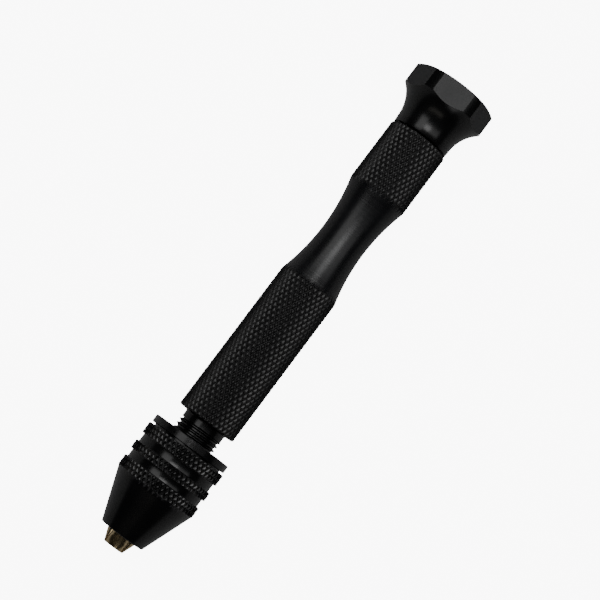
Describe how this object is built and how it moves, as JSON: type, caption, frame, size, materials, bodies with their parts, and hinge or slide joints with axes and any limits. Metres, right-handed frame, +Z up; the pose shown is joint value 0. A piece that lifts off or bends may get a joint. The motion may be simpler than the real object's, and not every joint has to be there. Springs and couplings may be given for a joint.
{
  "type": "hand drill",
  "caption": "Small hand drill: knurled handle, free-turning palm cap on a ball bearing, and a hand-tightened self-centring chuck.",
  "frame": {"origin": "on the drill's centre line, at the tip of the closed jaws, where a bit enters", "axes": "+X along the centre line from the jaws to the palm cap, +Z up with the drill lying down and a flat of the palm cap facing up"},
  "size_m": [0.1191, 0.0196, 0.019],
  "materials": {
    "handle_black": "black anodised, knurled",
    "cap_black": "black anodised, satin",
    "chuck_black": "black oxide, satin",
    "jaw_steel": "ground, straw tint",
    "inner_steel": "turned",
    "bearing_steel": "polished",
    "cage_brass": "pressed"
  },
  "bodies": {
    "handle": {"handle_grip": "handle_black", "chuck_body": "chuck_black", "thrust_washer": "inner_steel", "bearing_outer_ring": "bearing_steel", "bearing_shield_front": "inner_steel", "bearing_shield_rear": "inner_steel"},
    "cap": {"palm_cap": "cap_black", "cap_spindle": "inner_steel", "spindle_washer": "inner_steel", "spindle_screw": "inner_steel", "bearing_inner_ring": "bearing_steel"},
    "ball_set": {"bearing_balls": "bearing_steel", "bearing_cage": "cage_brass"},
    "sleeve": {"chuck_sleeve": "chuck_black", "nut_half_a": "inner_steel", "nut_half_b": "inner_steel"},
    "jaw_1": {"jaw_1": "jaw_steel"},
    "jaw_2": {"jaw_2": "jaw_steel"},
    "jaw_3": {"jaw_3": "jaw_steel"}
  },
  "joints": [
    {"name": "cap_spin", "type": "hinge", "parent": "handle", "child": "cap", "pos_m": [0.1034, 0, 0], "axis": [1, 0, 0], "continuous": true},
    {"name": "ball_orbit", "type": "hinge", "parent": "handle", "child": "ball_set", "pos_m": [0.1034, 0, 0], "axis": [1, 0, 0], "continuous": true},
    {"name": "sleeve_turn", "type": "hinge", "parent": "handle", "child": "sleeve", "pos_m": [0.014, 0, 0], "axis": [-1, 0, 0], "range_deg": [0, 1863]},
    {"name": "jaw_1_slide", "type": "slide", "parent": "handle", "child": "jaw_1", "axis": [0.9658, 0, 0.2593], "range_m": [0, 0.00518]},
    {"name": "jaw_2_slide", "type": "slide", "parent": "handle", "child": "jaw_2", "axis": [0.9658, -0.2245, -0.1296], "range_m": [0, 0.00518]},
    {"name": "jaw_3_slide", "type": "slide", "parent": "handle", "child": "jaw_3", "axis": [0.9658, 0.2245, -0.1296], "range_m": [0, 0.00518]}
  ],
  "couplings": [
    {"joint": "ball_orbit", "follows": "cap_spin", "ratio": 0.39333},
    {"joint": "jaw_1_slide", "follows": "sleeve_turn", "m_per_rad": 0.00015915},
    {"joint": "jaw_2_slide", "follows": "sleeve_turn", "m_per_rad": 0.00015915},
    {"joint": "jaw_3_slide", "follows": "sleeve_turn", "m_per_rad": 0.00015915}
  ]
}
